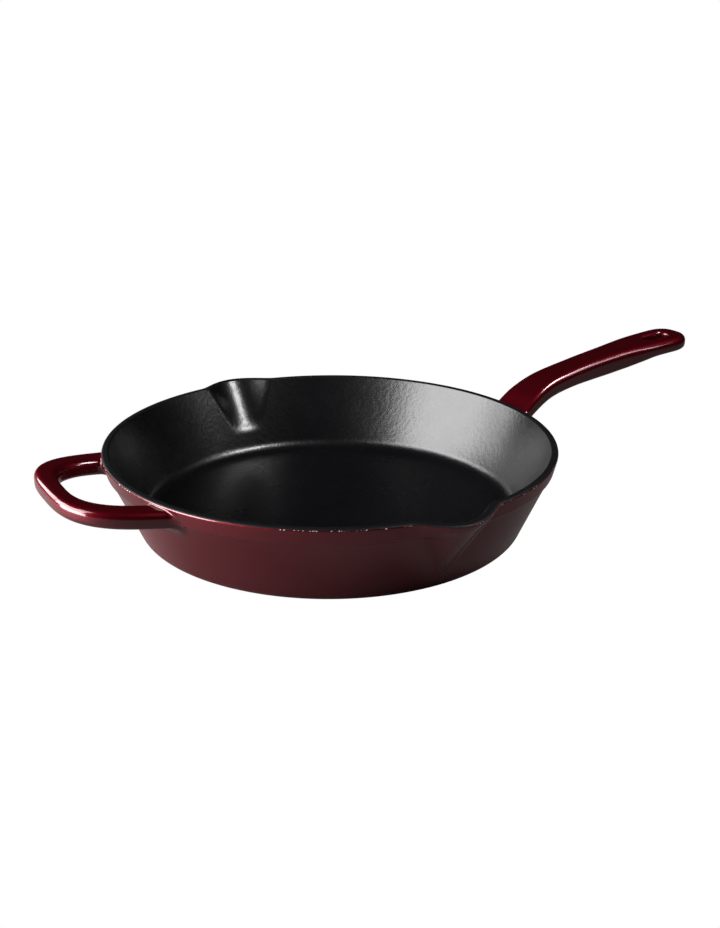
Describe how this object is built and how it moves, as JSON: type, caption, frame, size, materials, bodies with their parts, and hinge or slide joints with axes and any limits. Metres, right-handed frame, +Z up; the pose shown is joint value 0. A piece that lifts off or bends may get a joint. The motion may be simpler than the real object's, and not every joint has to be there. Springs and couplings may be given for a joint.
{
  "type": "enamelled cast iron skillet",
  "caption": "Round enamelled cast iron frying pan with a flared wall, opposite pouring lips, a long handle with a hanging slot and a looped helper handle.",
  "frame": {"origin": "centre of the flat underside", "axes": "+Z up out of the pan, +X along the long handle, the helper handle on -X, the pouring lips on +Y and -Y"},
  "size_m": [0.5044, 0.326, 0.0907],
  "materials": {
    "iron": "as cast, under the enamel",
    "black_enamel": "satin, fine orange peel",
    "rim_enamel": "satin",
    "cherry_enamel": "high gloss",
    "base_enamel": "gloss, lightly scuffed"
  },
  "bodies": {
    "root": {"pan_casting": "iron", "long_handle_casting": "iron", "helper_handle_casting": "iron", "interior_enamel": "black_enamel", "rim_enamel": "rim_enamel", "exterior_enamel": "cherry_enamel", "base_enamel": "base_enamel", "long_handle_enamel": "cherry_enamel", "helper_handle_enamel": "cherry_enamel"}
  },
  "joints": []
}
